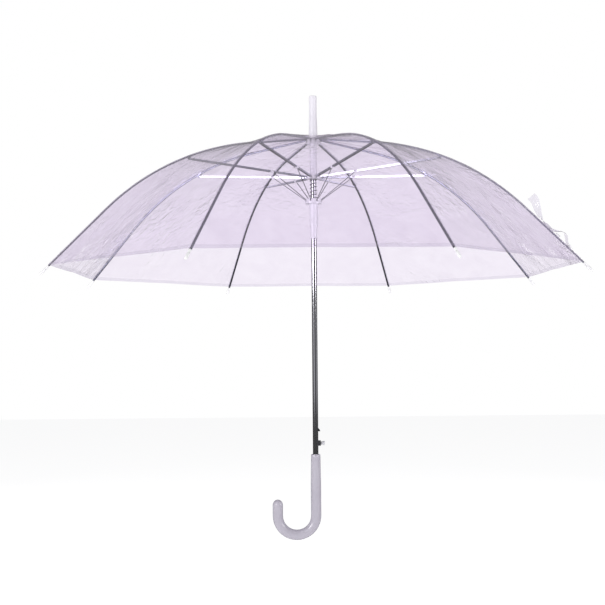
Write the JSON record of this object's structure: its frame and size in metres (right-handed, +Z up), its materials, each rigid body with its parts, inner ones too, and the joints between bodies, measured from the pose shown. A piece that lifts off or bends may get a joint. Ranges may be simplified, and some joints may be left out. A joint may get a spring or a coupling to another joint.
{
  "type": "stick umbrella",
  "caption": "Open stick umbrella with a clear film cover, steel ribs and stretchers, an automatic runner, a push button and a hooked handle.",
  "frame": {"origin": "on the shaft's axis at the height of the hook's lowest point", "axes": "+Z up along the shaft to the ferrule; -X is the side to which the hook bends; ribs stand at 22.5 degrees and every 45 degrees from +X"},
  "size_m": [0.908, 0.908, 0.8108],
  "materials": {
    "chrome_shaft": "bright chrome-plated steel tube",
    "rib_steel": "slate-grey coated spring steel, glossy",
    "spring_steel": "bare drawn steel wire",
    "white_plastic": "glossy moulded white plastic",
    "lilac_plastic": "glossy pale lilac plastic",
    "clear_film": "clear lavender-tinted film, glossy, slightly creased",
    "snap_plastic": "translucent white plastic",
    "dark_plastic": "dark moulded plastic",
    "grey_plastic": "pale grey moulded plastic"
  },
  "bodies": {
    "shaft_and_cover": {"shaft": "chrome_shaft", "top_notch": "white_plastic", "notch_wire": "spring_steel", "ferrule": "white_plastic", "crown_washer": "white_plastic", "stop_sleeve": "white_plastic", "cover": "clear_film", "handle": "lilac_plastic", "button_housing": "dark_plastic", "button_spring": "spring_steel"},
    "upper_runner": {"upper_runner": "white_plastic", "upper_runner_wire": "spring_steel", "opening_spring": "spring_steel"},
    "lower_runner": {"lower_runner": "white_plastic", "lower_runner_wire": "spring_steel"},
    "push_button": {"push_button": "grey_plastic"},
    "catch": {"catch": "spring_steel"},
    "stretcher_1": {"stretcher_1": "rib_steel"},
    "strut_1": {"strut_1": "spring_steel"},
    "inner_rib_1": {"inner_rib_1": "rib_steel"},
    "outer_rib_1": {"outer_rib_1": "rib_steel", "rib_tip_1": "white_plastic"},
    "stretcher_2": {"stretcher_2": "rib_steel"},
    "strut_2": {"strut_2": "spring_steel"},
    "inner_rib_2": {"inner_rib_2": "rib_steel"},
    "outer_rib_2": {"outer_rib_2": "rib_steel", "rib_tip_2": "white_plastic"},
    "stretcher_3": {"stretcher_3": "rib_steel"},
    "strut_3": {"strut_3": "spring_steel"},
    "inner_rib_3": {"inner_rib_3": "rib_steel"},
    "outer_rib_3": {"outer_rib_3": "rib_steel", "rib_tip_3": "white_plastic"},
    "stretcher_4": {"stretcher_4": "rib_steel"},
    "strut_4": {"strut_4": "spring_steel"},
    "inner_rib_4": {"inner_rib_4": "rib_steel"},
    "outer_rib_4": {"outer_rib_4": "rib_steel", "rib_tip_4": "white_plastic"},
    "stretcher_5": {"stretcher_5": "rib_steel"},
    "strut_5": {"strut_5": "spring_steel"},
    "inner_rib_5": {"inner_rib_5": "rib_steel"},
    "outer_rib_5": {"outer_rib_5": "rib_steel", "rib_tip_5": "white_plastic"},
    "stretcher_6": {"stretcher_6": "rib_steel"},
    "strut_6": {"strut_6": "spring_steel"},
    "inner_rib_6": {"inner_rib_6": "rib_steel"},
    "outer_rib_6": {"outer_rib_6": "rib_steel", "rib_tip_6": "white_plastic"},
    "stretcher_7": {"stretcher_7": "rib_steel"},
    "strut_7": {"strut_7": "spring_steel"},
    "inner_rib_7": {"inner_rib_7": "rib_steel"},
    "outer_rib_7": {"outer_rib_7": "rib_steel", "rib_tip_7": "white_plastic"},
    "stretcher_8": {"stretcher_8": "rib_steel"},
    "strut_8": {"strut_8": "spring_steel"},
    "inner_rib_8": {"inner_rib_8": "rib_steel"},
    "outer_rib_8": {"outer_rib_8": "rib_steel", "rib_tip_8": "white_plastic", "closing_strap": "clear_film", "strap_snap": "snap_plastic"}
  },
  "joints": [
    {"name": "runner_slide", "type": "slide", "parent": "shaft_and_cover", "child": "upper_runner", "axis": [0, 0, -1], "range_m": [0, 0.38833], "stiffness_N_per_m": 40, "springref_m": -0.15, "deforming": ["cover", "opening_spring"]},
    {"name": "lower_runner_slide", "type": "slide", "parent": "shaft_and_cover", "child": "lower_runner", "axis": [0, 0, -1], "range_m": [0, 0.35786]},
    {"name": "push_button_press", "type": "slide", "parent": "shaft_and_cover", "child": "push_button", "axis": [-1, 0, 0], "range_m": [0, 0.004], "stiffness_N_per_m": 600, "springref_m": -0.001, "deforming": ["button_spring"]},
    {"name": "catch_press", "type": "slide", "parent": "shaft_and_cover", "child": "catch", "axis": [-1, 0, 0], "range_m": [0, 0.0039]},
    {"name": "stretcher_fold_1", "type": "hinge", "parent": "upper_runner", "child": "stretcher_1", "pos_m": [0.01016, 0.00421, 0.66], "axis": [0.3827, -0.9239, 0], "range_deg": [0, 84.11]},
    {"name": "strut_fold_1", "type": "hinge", "parent": "stretcher_1", "child": "strut_1", "pos_m": [0.07555, 0.03129, 0.66563], "axis": [0.3827, -0.9239, 0], "range_deg": [-28.89, 0]},
    {"name": "rib_fold_1", "type": "hinge", "parent": "stretcher_1", "child": "inner_rib_1", "pos_m": [0.21841, 0.09047, 0.67792], "axis": [0.3827, -0.9239, 0], "range_deg": [-160.08, 0]},
    {"name": "rib_bend_1", "type": "hinge", "parent": "inner_rib_1", "child": "outer_rib_1", "pos_m": [0.21988, 0.09108, 0.68159], "axis": [0.3827, -0.9239, 0], "range_deg": [0, 25.8]},
    {"name": "stretcher_fold_2", "type": "hinge", "parent": "upper_runner", "child": "stretcher_2", "pos_m": [0.00421, 0.01016, 0.66], "axis": [0.9239, -0.3827, 0], "range_deg": [0, 84.11]},
    {"name": "strut_fold_2", "type": "hinge", "parent": "stretcher_2", "child": "strut_2", "pos_m": [0.03129, 0.07555, 0.66563], "axis": [0.9239, -0.3827, 0], "range_deg": [-28.89, 0]},
    {"name": "rib_fold_2", "type": "hinge", "parent": "stretcher_2", "child": "inner_rib_2", "pos_m": [0.09047, 0.21841, 0.67792], "axis": [0.9239, -0.3827, 0], "range_deg": [-160.08, 0]},
    {"name": "rib_bend_2", "type": "hinge", "parent": "inner_rib_2", "child": "outer_rib_2", "pos_m": [0.09108, 0.21988, 0.68159], "axis": [0.9239, -0.3827, 0], "range_deg": [0, 25.8]},
    {"name": "stretcher_fold_3", "type": "hinge", "parent": "upper_runner", "child": "stretcher_3", "pos_m": [-0.00421, 0.01016, 0.66], "axis": [0.9239, 0.3827, 0], "range_deg": [0, 84.11]},
    {"name": "strut_fold_3", "type": "hinge", "parent": "stretcher_3", "child": "strut_3", "pos_m": [-0.03129, 0.07555, 0.66563], "axis": [0.9239, 0.3827, 0], "range_deg": [-28.89, 0]},
    {"name": "rib_fold_3", "type": "hinge", "parent": "stretcher_3", "child": "inner_rib_3", "pos_m": [-0.09047, 0.21841, 0.67792], "axis": [0.9239, 0.3827, 0], "range_deg": [-160.08, 0]},
    {"name": "rib_bend_3", "type": "hinge", "parent": "inner_rib_3", "child": "outer_rib_3", "pos_m": [-0.09108, 0.21988, 0.68159], "axis": [0.9239, 0.3827, 0], "range_deg": [0, 25.8]},
    {"name": "stretcher_fold_4", "type": "hinge", "parent": "upper_runner", "child": "stretcher_4", "pos_m": [-0.01016, 0.00421, 0.66], "axis": [0.3827, 0.9239, 0], "range_deg": [0, 84.11]},
    {"name": "strut_fold_4", "type": "hinge", "parent": "stretcher_4", "child": "strut_4", "pos_m": [-0.07555, 0.03129, 0.66563], "axis": [0.3827, 0.9239, 0], "range_deg": [-28.89, 0]},
    {"name": "rib_fold_4", "type": "hinge", "parent": "stretcher_4", "child": "inner_rib_4", "pos_m": [-0.21841, 0.09047, 0.67792], "axis": [0.3827, 0.9239, 0], "range_deg": [-160.08, 0]},
    {"name": "rib_bend_4", "type": "hinge", "parent": "inner_rib_4", "child": "outer_rib_4", "pos_m": [-0.21988, 0.09108, 0.68159], "axis": [0.3827, 0.9239, 0], "range_deg": [0, 25.8]},
    {"name": "stretcher_fold_5", "type": "hinge", "parent": "upper_runner", "child": "stretcher_5", "pos_m": [-0.01016, -0.00421, 0.66], "axis": [-0.3827, 0.9239, 0], "range_deg": [0, 84.11]},
    {"name": "strut_fold_5", "type": "hinge", "parent": "stretcher_5", "child": "strut_5", "pos_m": [-0.07555, -0.03129, 0.66563], "axis": [-0.3827, 0.9239, 0], "range_deg": [-28.89, 0]},
    {"name": "rib_fold_5", "type": "hinge", "parent": "stretcher_5", "child": "inner_rib_5", "pos_m": [-0.21841, -0.09047, 0.67792], "axis": [-0.3827, 0.9239, 0], "range_deg": [-160.08, 0]},
    {"name": "rib_bend_5", "type": "hinge", "parent": "inner_rib_5", "child": "outer_rib_5", "pos_m": [-0.21988, -0.09108, 0.68159], "axis": [-0.3827, 0.9239, 0], "range_deg": [0, 25.8]},
    {"name": "stretcher_fold_6", "type": "hinge", "parent": "upper_runner", "child": "stretcher_6", "pos_m": [-0.00421, -0.01016, 0.66], "axis": [-0.9239, 0.3827, 0], "range_deg": [0, 84.11]},
    {"name": "strut_fold_6", "type": "hinge", "parent": "stretcher_6", "child": "strut_6", "pos_m": [-0.03129, -0.07555, 0.66563], "axis": [-0.9239, 0.3827, 0], "range_deg": [-28.89, 0]},
    {"name": "rib_fold_6", "type": "hinge", "parent": "stretcher_6", "child": "inner_rib_6", "pos_m": [-0.09047, -0.21841, 0.67792], "axis": [-0.9239, 0.3827, 0], "range_deg": [-160.08, 0]},
    {"name": "rib_bend_6", "type": "hinge", "parent": "inner_rib_6", "child": "outer_rib_6", "pos_m": [-0.09108, -0.21988, 0.68159], "axis": [-0.9239, 0.3827, 0], "range_deg": [0, 25.8]},
    {"name": "stretcher_fold_7", "type": "hinge", "parent": "upper_runner", "child": "stretcher_7", "pos_m": [0.00421, -0.01016, 0.66], "axis": [-0.9239, -0.3827, 0], "range_deg": [0, 84.11]},
    {"name": "strut_fold_7", "type": "hinge", "parent": "stretcher_7", "child": "strut_7", "pos_m": [0.03129, -0.07555, 0.66563], "axis": [-0.9239, -0.3827, 0], "range_deg": [-28.89, 0]},
    {"name": "rib_fold_7", "type": "hinge", "parent": "stretcher_7", "child": "inner_rib_7", "pos_m": [0.09047, -0.21841, 0.67792], "axis": [-0.9239, -0.3827, 0], "range_deg": [-160.08, 0]},
    {"name": "rib_bend_7", "type": "hinge", "parent": "inner_rib_7", "child": "outer_rib_7", "pos_m": [0.09108, -0.21988, 0.68159], "axis": [-0.9239, -0.3827, 0], "range_deg": [0, 25.8]},
    {"name": "stretcher_fold_8", "type": "hinge", "parent": "upper_runner", "child": "stretcher_8", "pos_m": [0.01016, -0.00421, 0.66], "axis": [-0.3827, -0.9239, 0], "range_deg": [0, 84.11]},
    {"name": "strut_fold_8", "type": "hinge", "parent": "stretcher_8", "child": "strut_8", "pos_m": [0.07555, -0.03129, 0.66563], "axis": [-0.3827, -0.9239, 0], "range_deg": [-28.89, 0]},
    {"name": "rib_fold_8", "type": "hinge", "parent": "stretcher_8", "child": "inner_rib_8", "pos_m": [0.21841, -0.09047, 0.67792], "axis": [-0.3827, -0.9239, 0], "range_deg": [-160.08, 0]},
    {"name": "rib_bend_8", "type": "hinge", "parent": "inner_rib_8", "child": "outer_rib_8", "pos_m": [0.21988, -0.09108, 0.68159], "axis": [-0.3827, -0.9239, 0], "range_deg": [0, 25.8]}
  ],
  "couplings": [
    {"joint": "lower_runner_slide", "follows": "runner_slide", "ratio": 0.92127},
    {"joint": "catch_press", "follows": "push_button_press", "ratio": 0.95},
    {"joint": "stretcher_fold_1", "follows": "runner_slide", "rad_per_m": 3.7778},
    {"joint": "strut_fold_1", "follows": "runner_slide", "rad_per_m": -1.2963},
    {"joint": "rib_fold_1", "follows": "runner_slide", "rad_per_m": -7.1926},
    {"joint": "rib_bend_1", "follows": "runner_slide", "rad_per_m": 1.1575},
    {"joint": "stretcher_fold_2", "follows": "runner_slide", "rad_per_m": 3.7778},
    {"joint": "strut_fold_2", "follows": "runner_slide", "rad_per_m": -1.2963},
    {"joint": "rib_fold_2", "follows": "runner_slide", "rad_per_m": -7.1926},
    {"joint": "rib_bend_2", "follows": "runner_slide", "rad_per_m": 1.1575},
    {"joint": "stretcher_fold_3", "follows": "runner_slide", "rad_per_m": 3.7778},
    {"joint": "strut_fold_3", "follows": "runner_slide", "rad_per_m": -1.2963},
    {"joint": "rib_fold_3", "follows": "runner_slide", "rad_per_m": -7.1926},
    {"joint": "rib_bend_3", "follows": "runner_slide", "rad_per_m": 1.1575},
    {"joint": "stretcher_fold_4", "follows": "runner_slide", "rad_per_m": 3.7778},
    {"joint": "strut_fold_4", "follows": "runner_slide", "rad_per_m": -1.2963},
    {"joint": "rib_fold_4", "follows": "runner_slide", "rad_per_m": -7.1926},
    {"joint": "rib_bend_4", "follows": "runner_slide", "rad_per_m": 1.1575},
    {"joint": "stretcher_fold_5", "follows": "runner_slide", "rad_per_m": 3.7778},
    {"joint": "strut_fold_5", "follows": "runner_slide", "rad_per_m": -1.2963},
    {"joint": "rib_fold_5", "follows": "runner_slide", "rad_per_m": -7.1926},
    {"joint": "rib_bend_5", "follows": "runner_slide", "rad_per_m": 1.1575},
    {"joint": "stretcher_fold_6", "follows": "runner_slide", "rad_per_m": 3.7778},
    {"joint": "strut_fold_6", "follows": "runner_slide", "rad_per_m": -1.2963},
    {"joint": "rib_fold_6", "follows": "runner_slide", "rad_per_m": -7.1926},
    {"joint": "rib_bend_6", "follows": "runner_slide", "rad_per_m": 1.1575},
    {"joint": "stretcher_fold_7", "follows": "runner_slide", "rad_per_m": 3.7778},
    {"joint": "strut_fold_7", "follows": "runner_slide", "rad_per_m": -1.2963},
    {"joint": "rib_fold_7", "follows": "runner_slide", "rad_per_m": -7.1926},
    {"joint": "rib_bend_7", "follows": "runner_slide", "rad_per_m": 1.1575},
    {"joint": "stretcher_fold_8", "follows": "runner_slide", "rad_per_m": 3.7778},
    {"joint": "strut_fold_8", "follows": "runner_slide", "rad_per_m": -1.2963},
    {"joint": "rib_fold_8", "follows": "runner_slide", "rad_per_m": -7.1926},
    {"joint": "rib_bend_8", "follows": "runner_slide", "rad_per_m": 1.1575}
  ]
}
